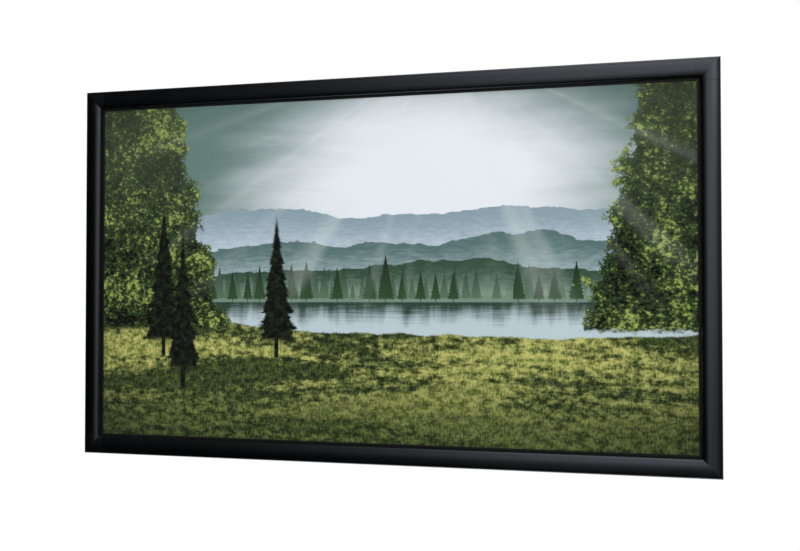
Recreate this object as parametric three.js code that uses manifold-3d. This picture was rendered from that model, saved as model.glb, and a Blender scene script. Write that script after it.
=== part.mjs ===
// A fixed frame projector screen. A white sheet is held flat by rods and clips inside a black frame of four
// rails and four moulded corner blocks, and four hooked plates hold the frame on a wall.
//
// Millimetres, +X along the width, +Z up, and the picture faces -Y. The origin is the middle of the object.
// A rail's section is drawn with u, the distance in from the frame's outer edge, and v, the depth behind its
// front.

import * as THREE from "three";
import { mergeVertices } from "three/addons/utils/BufferGeometryUtils.js";
import Module from "manifold-3d";

// The picture and the frame round it
const PICTURE_WIDTH = 2214;
const PICTURE_HEIGHT = 1245;
const BAR_WIDTH = 76;
const BAR_DEPTH = 40;
const WALL = 2;

// The front of a rail, from the outer edge to the picture
const SHOULDER_WIDTH = 9;
const SHOULDER_RADIUS = 13;
const CREASE_WIDTH = 1.2;
const CREASE_DEPTH = 0.8;
const CROWN_RADIUS = 75;
const ROLL_RADIUS = 14;
const ROLL_END = THREE.MathUtils.degToRad(78);
const GROOVE_WIDTH = 1.5;
const GROOVE_DEPTH = 1.6;
const LIP_WIDTH = 7.5;
const LIP_FRONT = 17;
const LIP_THICKNESS = 3;
const LIP_ROUNDING = 1.3;

// The back of a rail: a channel with a slot for brackets, and a ridge that the clips hook on
const CHANNEL_WIDTH = 32;
const RIDGE_HEIGHT = 6;

// The joints at the corners
const CORNER_OVERLAP = 4;
const SEAM = 0.8;
const CORNER_BRACKET_PLAY = 4;
const CORNER_BRACKET_THICKNESS = 3;
const CORNER_BRACKET_GRIP = 62;
const SCREW_FROM_BRACKET_END = 24;
const SCREW_SHANK_DIAMETER = 5;
const SCREW_TIP_CHAMFER = 0.5;
const SCREW_HEAD_OVERLAP = 2;
const SCREW_HEAD_HEIGHT = 2.2;
const SCREW_HEAD_RIM = 0.8;
const SCREW_RECESS_ACROSS = 6;
const SCREW_RECESS_BLADE = 1.2;
const SCREW_RECESS_DEPTH = 1.3;

// The sheet, its rods and the clips
const SHEET_THICKNESS = 0.5;
const ROD_DIAMETER = 5;
const SHEET_MARGIN = 22;
const TOP_CLIP_COUNT = 10;
const SIDE_CLIP_COUNT = 5;
const CLIP_WIDTH = 30;
const CLIP_THICKNESS = 2;
const CLIP_NOTCH_MARGIN = 3;
const CLIP_JAW_START = THREE.MathUtils.degToRad(-105);

// The wall brackets
const WALL_BRACKET_FROM_SIDE = 483;
const WALL_BRACKET_WIDTH = 90;
const WALL_BRACKET_HEIGHT = 60;
const WALL_BRACKET_THICKNESS = 2.5;
const WALL_BRACKET_FROM_EDGE = 8;
const UPPER_HOOK_HEIGHT = 8;
const LOWER_HOOK_HEIGHT = 4;
const WALL_HOLE_DIAMETER = 6;
const WALL_HOLE_LENGTH = 14;
const WALL_HOLE_SPACING = 56;
const WALL_HOLE_FROM_FOOT = 15;

// Clearances
const SEAT_GAP = 0.3;
const HOLE_CLEARANCE = 0.3;
const SCREW_SLOT_CLEARANCE = 2;

// Segments of a screw's full turn, and half the segments of each arc of a rail, of a rod and of a hole
const ARC_SEGMENTS = 5;
const ROD_SEGMENTS = 5;
const SCREW_SEGMENTS = 12;
const SCREW_DOME_SEGMENTS = 2;
const HOLE_SEGMENTS = 6;

// A corner block runs in one step up to its mitre and in one more from there
const CORNER_STEPS = 2;

// A strip's mitre is kept from running out to a spike at a bend sharper than this cosine
const SHARPEST_BEND = 0.3;

const FRAME_WIDTH = PICTURE_WIDTH + 2 * BAR_WIDTH;
const FRAME_HEIGHT = PICTURE_HEIGHT + 2 * BAR_WIDTH;
const CORNER_SIDE = BAR_WIDTH + CORNER_OVERLAP;
const WALL_PLANE = BAR_DEPTH + SEAT_GAP + WALL_BRACKET_THICKNESS;
const CHANNEL_MIDDLE = WALL + CHANNEL_WIDTH / 2;
const CHANNEL_INNER = WALL + CHANNEL_WIDTH;
const CHANNEL_FLOOR = BAR_DEPTH - WALL;
const SLOT_WIDTH = SCREW_SHANK_DIAMETER + 2 * SCREW_SLOT_CLEARANCE;
const WEB_INSIDE = CHANNEL_INNER + WALL;
const RIDGE_START = WEB_INSIDE + CLIP_THICKNESS + 2 * SEAT_GAP;
const RIDGE_TOP = BAR_DEPTH - RIDGE_HEIGHT;
const LIP_BACK = LIP_FRONT + LIP_THICKNESS;
const SHEET_FRONT = LIP_BACK + SEAT_GAP;
const ROD_FROM_EDGE = BAR_WIDTH - SHEET_MARGIN;
const ROD_RADIUS = ROD_DIAMETER / 2;
const HEM_BORE_RADIUS = ROD_RADIUS + SEAT_GAP;
const HEM_RADIUS = HEM_BORE_RADIUS + SHEET_THICKNESS;
const HEM_END_INSET = HEM_RADIUS + ROD_RADIUS + SEAT_GAP;
const ROD_DEPTH = SHEET_FRONT + HEM_RADIUS;
const JAW_RADIUS = ROD_RADIUS + SEAT_GAP + CLIP_THICKNESS / 2;
const NOTCH_HALF = CLIP_WIDTH / 2 + CLIP_NOTCH_MARGIN;
const CORNER_BRACKET_END = CORNER_SIDE + SEAM + CORNER_BRACKET_GRIP;
const CORNER_SCREW_PLACE = CORNER_BRACKET_END - SCREW_FROM_BRACKET_END;

const manifold = await Module();
manifold.setup();

const materials = {
  rail: new THREE.MeshStandardMaterial({ color: 0x17181a, roughness: 0.42, metalness: 0.2 }),
  cornerBlock: new THREE.MeshStandardMaterial({ color: 0x1a1b1c, roughness: 0.5, metalness: 0 }),
  sheet: new THREE.MeshStandardMaterial({ color: 0xf0f0ec, roughness: 0.9, metalness: 0 }),
  rod: new THREE.MeshStandardMaterial({ color: 0xd9cfa6, roughness: 0.45, metalness: 0 }),
  clip: new THREE.MeshStandardMaterial({ color: 0x0e0e0f, roughness: 0.55, metalness: 0 }),
  zincSteel: new THREE.MeshStandardMaterial({ color: 0xa9abad, roughness: 0.38, metalness: 0.9 }),
  blackSteel: new THREE.MeshStandardMaterial({ color: 0x202123, roughness: 0.6, metalness: 0.3 }),
};

// A closed geometry as a manifold solid.
function solidOf(geometry) {
  const bare = geometry.clone();
  bare.deleteAttribute("normal");
  bare.deleteAttribute("uv");
  const merged = mergeVertices(bare);
  const triVerts = new Uint32Array(merged.index.array);
  const vertProperties = new Float32Array(merged.attributes.position.array);
  return new manifold.Manifold(new manifold.Mesh({ numProp: 3, vertProperties, triVerts }));
}

// A manifold solid as a geometry.
function geometryOf(solid) {
  const mesh = solid.getMesh();
  const geometry = new THREE.BufferGeometry();
  geometry.setAttribute("position", new THREE.BufferAttribute(mesh.vertProperties, 3));
  geometry.setIndex(new THREE.BufferAttribute(mesh.triVerts, 1));
  geometry.computeVertexNormals();
  return geometry;
}

function cut(geometry, cutters) {
  let solid = solidOf(geometry);
  for (const cutter of cutters) solid = solid.subtract(solidOf(cutter));
  return geometryOf(solid);
}

function join(geometries) {
  let solid = solidOf(geometries[0]);
  for (const geometry of geometries.slice(1)) solid = solid.add(solidOf(geometry));
  return geometryOf(solid);
}

// A shape in u and v, extruded along local z and centred on it.
function extrudeAlong(shape, length, curveSegments = ARC_SEGMENTS) {
  const geometry = new THREE.ExtrudeGeometry(shape, { depth: length, bevelEnabled: false, curveSegments });
  return geometry.translate(0, 0, -length / 2);
}

// A shape in x and z, from depth near to depth far.
function plateBetween(shape, near, far, curveSegments = ARC_SEGMENTS) {
  const settings = { depth: far - near, bevelEnabled: false, curveSegments };
  return new THREE.ExtrudeGeometry(shape, settings).rotateX(Math.PI / 2).translate(0, far, 0);
}

// A strip of sheet metal or moulding of one thickness, bent along the points of its middle line.
function stripShape(points, thickness) {
  const sides = points.map((point, index) => {
    const before = points[Math.max(index - 1, 0)];
    const after = points[Math.min(index + 1, points.length - 1)];
    const arriving = point.clone().sub(before).normalize();
    const leaving = after.clone().sub(point).normalize();
    const along = arriving.clone().add(leaving).normalize();
    const bend = Math.max(along.dot(index > 0 ? arriving : leaving), SHARPEST_BEND);
    const normal = new THREE.Vector2(-along.y, along.x).multiplyScalar(thickness / 2 / bend);
    return [point.clone().add(normal), point.clone().sub(normal)];
  });
  const there = sides.map(([left]) => left);
  const back = sides.map(([, right]) => right).reverse();
  return new THREE.Shape([...there, ...back]);
}

// The curves of a rail's front. Angles are measured from straight forward, and grow towards the picture.
function frontCurves() {
  const crownStart = SHOULDER_WIDTH + CREASE_WIDTH;
  const rollFinish = BAR_WIDTH - LIP_WIDTH - GROOVE_WIDTH;
  const crownMiddle = (crownStart + rollFinish) / 2;
  const startAngle = Math.asin((crownStart - crownMiddle) / CROWN_RADIUS);
  const rollReach = rollFinish - crownMiddle - ROLL_RADIUS * Math.sin(ROLL_END);
  const rollAngle = Math.asin(rollReach / (CROWN_RADIUS - ROLL_RADIUS));
  const shoulderAngle = Math.asin((SHOULDER_WIDTH - SHOULDER_RADIUS) / SHOULDER_RADIUS);
  const creaseDepth = CROWN_RADIUS * (1 - Math.cos(startAngle));
  return {
    crown: { u: crownMiddle, v: CROWN_RADIUS, from: startAngle, to: rollAngle },
    roll: {
      u: crownMiddle + (CROWN_RADIUS - ROLL_RADIUS) * Math.sin(rollAngle),
      v: CROWN_RADIUS - (CROWN_RADIUS - ROLL_RADIUS) * Math.cos(rollAngle),
      from: rollAngle,
      to: ROLL_END,
    },
    shoulder: {
      u: SHOULDER_RADIUS,
      v: creaseDepth + SHOULDER_RADIUS * Math.cos(shoulderAngle),
      from: -Math.PI / 2,
      to: shoulderAngle,
    },
  };
}

// Adds an arc to an outline. In u and v, straight forward is at a quarter turn back from u.
function addArc(outline, curve, radius, from, to) {
  outline.absarc(curve.u, curve.v, radius, from - Math.PI / 2, to - Math.PI / 2, to < from);
}

// The section's visible front, from the foot of the outer side to the back edge of the lip.
function addFront(outline) {
  const { shoulder, crown, roll } = frontCurves();
  const lipOuter = BAR_WIDTH - LIP_WIDTH;
  const creaseMiddle = SHOULDER_WIDTH + CREASE_WIDTH / 2;
  const creaseFloor = CROWN_RADIUS * (1 - Math.cos(crown.from)) + CREASE_DEPTH;
  const grooveFloor = LIP_FRONT + GROOVE_DEPTH;
  outline.moveTo(0, BAR_DEPTH);
  outline.lineTo(0, shoulder.v);
  addArc(outline, shoulder, SHOULDER_RADIUS, shoulder.from, shoulder.to);
  outline.lineTo(creaseMiddle, creaseFloor);
  addArc(outline, crown, CROWN_RADIUS, crown.from, crown.to);
  addArc(outline, roll, ROLL_RADIUS, roll.from, roll.to);
  outline.lineTo(lipOuter - GROOVE_WIDTH, grooveFloor);
  outline.lineTo(lipOuter, grooveFloor);
  outline.lineTo(lipOuter, LIP_FRONT + LIP_ROUNDING);
  outline.quadraticCurveTo(lipOuter, LIP_FRONT, lipOuter + LIP_ROUNDING, LIP_FRONT);
  outline.lineTo(BAR_WIDTH - LIP_ROUNDING, LIP_FRONT);
  outline.quadraticCurveTo(BAR_WIDTH, LIP_FRONT, BAR_WIDTH, LIP_FRONT + LIP_ROUNDING);
  outline.lineTo(BAR_WIDTH, LIP_BACK);
}

// Where the inside of the domed skin crosses a given u.
function skinInside(u) {
  const { crown } = frontCurves();
  const radius = CROWN_RADIUS - WALL;
  const angle = Math.asin((u - crown.u) / radius);
  return { angle, v: CROWN_RADIUS - radius * Math.cos(angle) };
}

// The inside of the skin over the sheet's edge, from the lip to the web.
function addWingInside(outline) {
  const { crown, roll } = frontCurves();
  const innerRoll = ROLL_RADIUS - WALL;
  outline.lineTo(roll.u + innerRoll * Math.sin(roll.to), LIP_BACK);
  addArc(outline, roll, innerRoll, roll.to, roll.from);
  addArc(outline, crown, CROWN_RADIUS - WALL, crown.to, skinInside(WEB_INSIDE).angle);
}

// The roof of the channel, from the web to the outer wall.
function addChannelRoof(outline) {
  const { shoulder, crown } = frontCurves();
  addArc(outline, crown, CROWN_RADIUS - WALL, skinInside(CHANNEL_INNER).angle, crown.from);
  addArc(outline, shoulder, SHOULDER_RADIUS - WALL, shoulder.to, shoulder.from);
}

// A rail's section: one wall that bends round the channel, open to the back at the slot.
function railSection() {
  const outline = new THREE.Shape();
  addFront(outline);
  addWingInside(outline);
  outline.lineTo(WEB_INSIDE, CHANNEL_FLOOR);
  outline.lineTo(RIDGE_START, CHANNEL_FLOOR);
  outline.lineTo(RIDGE_START, RIDGE_TOP);
  outline.lineTo(RIDGE_START + WALL, RIDGE_TOP);
  outline.lineTo(RIDGE_START + WALL, BAR_DEPTH);
  outline.lineTo(CHANNEL_MIDDLE + SLOT_WIDTH / 2, BAR_DEPTH);
  outline.lineTo(CHANNEL_MIDDLE + SLOT_WIDTH / 2, CHANNEL_FLOOR);
  outline.lineTo(CHANNEL_INNER, CHANNEL_FLOOR);
  outline.lineTo(CHANNEL_INNER, skinInside(CHANNEL_INNER).v);
  addChannelRoof(outline);
  outline.lineTo(WALL, CHANNEL_FLOOR);
  outline.lineTo(CHANNEL_MIDDLE - SLOT_WIDTH / 2, CHANNEL_FLOOR);
  outline.lineTo(CHANNEL_MIDDLE - SLOT_WIDTH / 2, BAR_DEPTH);
  return outline;
}

// A corner block's section: the same front and channel, with a plain closed back.
function cornerSection() {
  const outline = new THREE.Shape();
  addFront(outline);
  addWingInside(outline);
  outline.lineTo(WEB_INSIDE, BAR_DEPTH);
  const channel = new THREE.Path();
  channel.moveTo(CHANNEL_INNER, CHANNEL_FLOOR);
  channel.lineTo(CHANNEL_INNER, skinInside(CHANNEL_INNER).v);
  addChannelRoof(channel);
  channel.lineTo(WALL, CHANNEL_FLOOR);
  outline.holes.push(channel);
  return outline;
}

// The block's section runs in along x, turns at the mitre plane x = z, and runs out along z.
function cornerBlockGeometry() {
  const geometry = new THREE.ExtrudeGeometry(cornerSection(), {
    depth: CORNER_STEPS,
    steps: CORNER_STEPS,
    bevelEnabled: false,
    curveSegments: ARC_SEGMENTS,
  });
  const position = geometry.attributes.position;
  for (let index = 0; index < position.count; index += 1) {
    const u = position.getX(index);
    const ring = Math.round(position.getZ(index));
    const x = ring === 0 ? CORNER_SIDE : u;
    const z = ring === CORNER_STEPS ? CORNER_SIDE : u;
    position.setXYZ(index, x, position.getY(index), z);
  }
  geometry.computeVertexNormals();
  return geometry;
}

function circle(x, y, radius) {
  return new THREE.Path().absarc(x, y, radius, 0, 2 * Math.PI, true);
}

// A flat L that lies on the floor of the channels, with a screw hole in each leg.
function cornerBracketGeometry() {
  const near = WALL + CORNER_BRACKET_PLAY;
  const far = CHANNEL_INNER - CORNER_BRACKET_PLAY;
  const shape = new THREE.Shape();
  shape.moveTo(near, near);
  shape.lineTo(CORNER_BRACKET_END, near);
  shape.lineTo(CORNER_BRACKET_END, far);
  shape.lineTo(far, far);
  shape.lineTo(far, CORNER_BRACKET_END);
  shape.lineTo(near, CORNER_BRACKET_END);
  const holeRadius = SCREW_SHANK_DIAMETER / 2 + HOLE_CLEARANCE;
  shape.holes.push(circle(CORNER_SCREW_PLACE, CHANNEL_MIDDLE, holeRadius));
  shape.holes.push(circle(CHANNEL_MIDDLE, CORNER_SCREW_PLACE, holeRadius));
  const back = CHANNEL_FLOOR - SEAT_GAP;
  return plateBetween(shape, back - CORNER_BRACKET_THICKNESS, back, HOLE_SEGMENTS);
}

// A pan head screw along y, with the underside of its head at y = 0 and a cross recess in its head.
function screwGeometry() {
  const headRadius = SLOT_WIDTH / 2 + SCREW_HEAD_OVERLAP;
  const shankRadius = SCREW_SHANK_DIAMETER / 2;
  const tip = -(SEAT_GAP + WALL + SEAT_GAP + CORNER_BRACKET_THICKNESS + SEAT_GAP);
  const flatRadius = SCREW_RECESS_ACROSS / 2 + SCREW_RECESS_BLADE / 2;
  const dome = Array.from({ length: SCREW_DOME_SEGMENTS + 1 }, (_, step) => {
    const angle = (step / SCREW_DOME_SEGMENTS) * (Math.PI / 2);
    const radius = flatRadius + (headRadius - flatRadius) * Math.cos(angle);
    return new THREE.Vector2(radius, SCREW_HEAD_RIM + (SCREW_HEAD_HEIGHT - SCREW_HEAD_RIM) * Math.sin(angle));
  });
  const profile = [
    new THREE.Vector2(0, tip),
    new THREE.Vector2(shankRadius - SCREW_TIP_CHAMFER, tip),
    new THREE.Vector2(shankRadius, tip + SCREW_TIP_CHAMFER),
    new THREE.Vector2(shankRadius, 0),
    new THREE.Vector2(headRadius, 0),
    ...dome,
    new THREE.Vector2(0, SCREW_HEAD_HEIGHT),
  ];
  const body = new THREE.LatheGeometry(profile, SCREW_SEGMENTS);
  const blades = [0, Math.PI / 2].map((turn) => {
    const blade = new THREE.BoxGeometry(SCREW_RECESS_ACROSS, 2 * SCREW_RECESS_DEPTH, SCREW_RECESS_BLADE);
    return blade.rotateY(turn).translate(0, SCREW_HEAD_HEIGHT, 0);
  });
  return cut(body, blades);
}

// The places of the clips along a side, as distances from its middle.
function clipPlaces(count, pictureSide) {
  const pitch = pictureSide / count;
  return Array.from({ length: count }, (_, index) => (index - (count - 1) / 2) * pitch);
}

// The flat of the sheet: it reaches out to the hems, and is cut back at the corners and round each clip.
function sheetOutline() {
  const halfWidth = FRAME_WIDTH / 2 - ROD_FROM_EDGE;
  const halfHeight = FRAME_HEIGHT / 2 - ROD_FROM_EDGE;
  const jawReach = JAW_RADIUS + CLIP_THICKNESS / 2 + SEAT_GAP;
  const outline = [];
  const side = (count, pictureSide, half, alongHalf, place) => {
    place(-alongHalf + HEM_END_INSET, half - HEM_END_INSET);
    place(-alongHalf + HEM_END_INSET, half);
    for (const middle of clipPlaces(count, pictureSide)) {
      place(middle - NOTCH_HALF, half);
      place(middle - NOTCH_HALF, half - jawReach);
      place(middle + NOTCH_HALF, half - jawReach);
      place(middle + NOTCH_HALF, half);
    }
    place(alongHalf - HEM_END_INSET, half);
  };
  const add = (x, z) => outline.push(new THREE.Vector2(x, z));
  const wide = [TOP_CLIP_COUNT, PICTURE_WIDTH];
  const high = [SIDE_CLIP_COUNT, PICTURE_HEIGHT];
  side(...wide, halfHeight, halfWidth, (along, out) => add(along, -out));
  side(...high, halfWidth, halfHeight, (along, out) => add(out, along));
  side(...wide, halfHeight, halfWidth, (along, out) => add(-along, out));
  side(...high, halfWidth, halfHeight, (along, out) => add(-out, -along));
  return new THREE.Shape(outline);
}

// The stretches of hem along one side, as pairs of ends measured from its middle.
function hemStretches(count, pictureSide, halfLength) {
  const ends = [-halfLength];
  for (const middle of clipPlaces(count, pictureSide)) ends.push(middle - NOTCH_HALF, middle + NOTCH_HALF);
  ends.push(halfLength);
  return Array.from({ length: count + 1 }, (_, index) => [ends[2 * index], ends[2 * index + 1]]);
}

// One stretch of hem: the sheet's edge rolled into a tube round the rod, along z at x = 0.
function hemGeometry(from, to) {
  const tube = new THREE.Shape().absarc(0, ROD_DEPTH, HEM_RADIUS, 0, 2 * Math.PI, false);
  tube.holes.push(circle(0, ROD_DEPTH, HEM_BORE_RADIUS));
  return extrudeAlong(tube, to - from, ROD_SEGMENTS).translate(0, 0, (from + to) / 2);
}

const SIDES = [
  { name: "left", turn: 0, x: -FRAME_WIDTH / 2, z: 0, length: FRAME_HEIGHT },
  { name: "top", turn: Math.PI / 2, x: 0, z: FRAME_HEIGHT / 2, length: FRAME_WIDTH },
  { name: "right", turn: Math.PI, x: FRAME_WIDTH / 2, z: 0, length: FRAME_HEIGHT },
  { name: "bottom", turn: -Math.PI / 2, x: 0, z: -FRAME_HEIGHT / 2, length: FRAME_WIDTH },
];

const CORNERS = [
  { name: "bottom_left", turn: 0, x: -FRAME_WIDTH / 2, z: -FRAME_HEIGHT / 2 },
  { name: "top_left", turn: Math.PI / 2, x: -FRAME_WIDTH / 2, z: FRAME_HEIGHT / 2 },
  { name: "top_right", turn: Math.PI, x: FRAME_WIDTH / 2, z: FRAME_HEIGHT / 2 },
  { name: "bottom_right", turn: -Math.PI / 2, x: FRAME_WIDTH / 2, z: -FRAME_HEIGHT / 2 },
];

function clipsOn(side) {
  const across = side.length === FRAME_WIDTH;
  return across ? [TOP_CLIP_COUNT, PICTURE_WIDTH] : [SIDE_CLIP_COUNT, PICTURE_HEIGHT];
}

// A rod and its hem stop short of the corner where two rods' lines would cross.
function rodLength(side) {
  return side.length - 2 * (ROD_FROM_EDGE + HEM_END_INSET);
}

// The white sheet with its hems, in the frame's own position.
function sheetGeometry() {
  const flat = plateBetween(sheetOutline(), SHEET_FRONT, SHEET_FRONT + SHEET_THICKNESS);
  const hems = SIDES.flatMap((side) => {
    const halfLength = rodLength(side) / 2;
    return hemStretches(...clipsOn(side), halfLength).map(([from, to]) =>
      hemGeometry(from, to).translate(ROD_FROM_EDGE, 0, 0).rotateY(side.turn).translate(side.x, 0, side.z),
    );
  });
  return join([flat, ...hems]);
}

function rodGeometry(length) {
  const shape = new THREE.Shape().absarc(ROD_FROM_EDGE, ROD_DEPTH, ROD_RADIUS, 0, 2 * Math.PI, false);
  return extrudeAlong(shape, length, ROD_SEGMENTS);
}

// A clip: a jaw round the inner side of the rod, an arm, and a tail hooked down behind the ridge.
function clipGeometry() {
  const tail = RIDGE_START - SEAT_GAP - CLIP_THICKNESS / 2;
  const over = RIDGE_TOP - SEAT_GAP - CLIP_THICKNESS / 2;
  const jaw = new THREE.Path();
  jaw.absarc(ROD_FROM_EDGE, ROD_DEPTH, JAW_RADIUS, Math.PI / 2, CLIP_JAW_START, true);
  const points = [
    new THREE.Vector2(tail, CHANNEL_FLOOR - SEAT_GAP),
    new THREE.Vector2(tail, over),
    new THREE.Vector2(RIDGE_START + WALL + SEAT_GAP, over),
    ...jaw.getPoints(ROD_SEGMENTS),
  ];
  return extrudeAlong(stripShape(points, CLIP_THICKNESS), CLIP_WIDTH);
}

// A wall bracket: a plate on the wall and a shelf through the rail's slot that ends in a hook.
function wallBracketGeometry(hookHeight) {
  const half = WALL_BRACKET_THICKNESS / 2;
  const plateDepth = BAR_DEPTH + SEAT_GAP + half;
  const shelf = CHANNEL_MIDDLE - SLOT_WIDTH / 2 + SEAT_GAP + half;
  const hookDepth = CHANNEL_FLOOR - SEAT_GAP - half;
  const foot = WALL_BRACKET_FROM_EDGE + WALL_BRACKET_HEIGHT;
  const hook = stripShape(
    [
      new THREE.Vector2(shelf - half - hookHeight, hookDepth),
      new THREE.Vector2(shelf, hookDepth),
      new THREE.Vector2(shelf, plateDepth),
    ],
    WALL_BRACKET_THICKNESS,
  );
  const plate = stripShape(
    [new THREE.Vector2(WALL_BRACKET_FROM_EDGE, plateDepth), new THREE.Vector2(foot, plateDepth)],
    WALL_BRACKET_THICKNESS,
  );
  const holes = [-1, 1].map((way) => {
    const radius = WALL_HOLE_DIAMETER / 2;
    const straight = (WALL_HOLE_LENGTH - WALL_HOLE_DIAMETER) / 2;
    const slot = new THREE.Shape();
    slot.absarc(straight, 0, radius, -Math.PI / 2, Math.PI / 2, false);
    slot.absarc(-straight, 0, radius, Math.PI / 2, 1.5 * Math.PI, false);
    const cutter = plateBetween(slot, BAR_DEPTH, WALL_PLANE + SEAT_GAP);
    return cutter.translate(foot - WALL_HOLE_FROM_FOOT, 0, (way * WALL_HOLE_SPACING) / 2);
  });
  const body = join([extrudeAlong(hook, WALL_BRACKET_WIDTH), extrudeAlong(plate, WALL_BRACKET_WIDTH)]);
  return cut(body, holes);
}

function mesh(name, geometry, material, x = 0, y = 0, z = 0) {
  const piece = new THREE.Mesh(geometry, material);
  piece.name = name;
  piece.position.set(x, y, z);
  return piece;
}

function placed(place, ...pieces) {
  const group = new THREE.Group();
  group.position.set(place.x, 0, place.z);
  group.rotation.y = place.turn;
  group.add(...pieces);
  return group;
}

function sidePieces(side) {
  const railLength = side.length - 2 * (CORNER_SIDE + SEAM);
  const clip = clipGeometry();
  const pieces = [
    mesh(`${side.name}_rail`, extrudeAlong(railSection(), railLength), materials.rail),
    mesh(`tension_rod_${side.name}`, rodGeometry(rodLength(side)), materials.rod),
  ];
  clipPlaces(...clipsOn(side)).forEach((place, index) => {
    pieces.push(mesh(`tension_clip_${side.name}_${index + 1}`, clip, materials.clip, 0, 0, place));
  });
  return pieces;
}

function wallBrackets(side, word, hookHeight) {
  const geometry = wallBracketGeometry(hookHeight);
  return ["left", "right"].map((end) => {
    const way = (end === "right" ? 1 : -1) * (side.name === "top" ? 1 : -1);
    const place = side.length / 2 - WALL_BRACKET_FROM_SIDE;
    return mesh(`wall_bracket_${word}_${end}`, geometry, materials.blackSteel, 0, 0, way * place);
  });
}

function cornerPieces(corner) {
  const screw = screwGeometry();
  const seat = BAR_DEPTH + SEAT_GAP;
  const along = CORNER_SCREW_PLACE;
  return [
    mesh(`corner_block_${corner.name}`, cornerBlockGeometry(), materials.cornerBlock),
    mesh(`corner_bracket_${corner.name}`, cornerBracketGeometry(), materials.zincSteel),
    mesh(`bracket_screw_${corner.name}_1`, screw, materials.zincSteel, along, seat, CHANNEL_MIDDLE),
    mesh(`bracket_screw_${corner.name}_2`, screw, materials.zincSteel, CHANNEL_MIDDLE, seat, along),
  ];
}

const [, top, , bottom] = SIDES;
const screen = new THREE.Group();
screen.position.y = -WALL_PLANE / 2;
screen.add(
  ...SIDES.map((side) => placed(side, ...sidePieces(side))),
  ...CORNERS.map((corner) => placed(corner, ...cornerPieces(corner))),
  mesh("projection_surface", sheetGeometry(), materials.sheet),
  placed(top, ...wallBrackets(top, "upper", UPPER_HOOK_HEIGHT)),
  placed(bottom, ...wallBrackets(bottom, "lower", LOWER_HOOK_HEIGHT)),
);

const fixedFrameScreen = new THREE.Group();
fixedFrameScreen.add(screen);

export default fixedFrameScreen;
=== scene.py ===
"""Dresses the fixed frame projector screen: satin black rails and corner blocks round a stretched sheet."""

import math

import bmesh
import bpy
from mathutils import Matrix, Vector
from mathutils.geometry import tessellate_polygon

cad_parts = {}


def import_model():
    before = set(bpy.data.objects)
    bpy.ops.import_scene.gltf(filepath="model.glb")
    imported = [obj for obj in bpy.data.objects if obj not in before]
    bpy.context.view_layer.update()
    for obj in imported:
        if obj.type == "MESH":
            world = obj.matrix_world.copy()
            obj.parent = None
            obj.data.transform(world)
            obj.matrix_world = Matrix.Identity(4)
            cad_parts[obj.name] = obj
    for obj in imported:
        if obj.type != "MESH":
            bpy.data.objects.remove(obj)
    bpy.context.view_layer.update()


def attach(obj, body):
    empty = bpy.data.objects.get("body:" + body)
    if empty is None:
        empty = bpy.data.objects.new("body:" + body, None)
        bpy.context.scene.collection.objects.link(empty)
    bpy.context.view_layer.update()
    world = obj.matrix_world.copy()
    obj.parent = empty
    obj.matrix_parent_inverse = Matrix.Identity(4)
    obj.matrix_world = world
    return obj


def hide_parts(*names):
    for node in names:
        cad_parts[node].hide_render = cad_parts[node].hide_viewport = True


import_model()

# The part's own sizes, in millimetres. A section has u, in from the outer edge, and v, back from the front.
MM = 0.001
PICTURE_WIDTH = 2214.0
PICTURE_HEIGHT = 1245.0
BAR_WIDTH = 76.0
BAR_DEPTH = 40.0
WALL = 2.0
FRAME_WIDTH = PICTURE_WIDTH + 2 * BAR_WIDTH
FRAME_HEIGHT = PICTURE_HEIGHT + 2 * BAR_WIDTH
SHOULDER_RADIUS = 13.0
SHOULDER_WIDTH = 9.0
CREASE_WIDTH = 1.2
CREASE_DEPTH = 0.8
CROWN_RADIUS = 75.0
ROLL_RADIUS = 14.0
ROLL_END = math.radians(78)
GROOVE_WIDTH = 1.5
GROOVE_DEPTH = 1.6
LIP_WIDTH = 7.5
LIP_FRONT = 17.0
LIP_BACK = 20.0
LIP_ROUNDING = 1.3
LIP_OUTER = BAR_WIDTH - LIP_WIDTH
MATT_START = 66.2
CHANNEL_INNER = 34.0
CHANNEL_FLOOR = 38.0
CHANNEL_MIDDLE = 18.0
SLOT_HALF = 4.5
WEB_INSIDE = 36.0
RIDGE_START = 38.6
RIDGE_TOP = 34.0
CORNER_SIDE = 80.0
SEAM = 0.8
GAP = 0.3
BRACKET_END = 142.8
BRACKET_SCREW = 118.8
BRACKET_NEAR = 6.0
BRACKET_FAR = 30.0
BRACKET_FRONT = 34.7
BRACKET_BACK = 37.7
BRACKET_HOLE_RADIUS = 2.8
SCREW_TURN = 0.4
SHEET_FRONT = 20.3
SHEET_THICKNESS = 0.5
ROD_U = 54.0
ROD_V = 23.6
ROD_RADIUS = 2.5
HEM_RADIUS = 3.3
HEM_BORE_RADIUS = 2.8
HEM_END_INSET = 6.1
JAW_RADIUS = 3.8
JAW_REACH = 5.1
CLIP_WIDTH = 30.0
CLIP_THICKNESS = 2.0
NOTCH_HALF = 18.0
WALL_PLANE = 42.8
PLATE_WIDTH = 90.0
PLATE_THICKNESS = 2.5
PLATE_CORNER_RADIUS = 5.0
PLATE_TOP = 8.0
PLATE_FOOT = 68.0
PLATE_FROM_SIDE = 483.0
PLATE_HOLE_U = 53.0
PLATE_HOLE_SPACING = 56.0
PLATE_HOLE_RADIUS = 3.0
PLATE_HOLE_STRAIGHT = 4.0
HOOK_FRONT = 35.2
SHELF_OUTER = 13.8
SHELF_INNER = 16.3
HOOK_HEIGHTS = {"upper": 8.0, "lower": 4.0}

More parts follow.
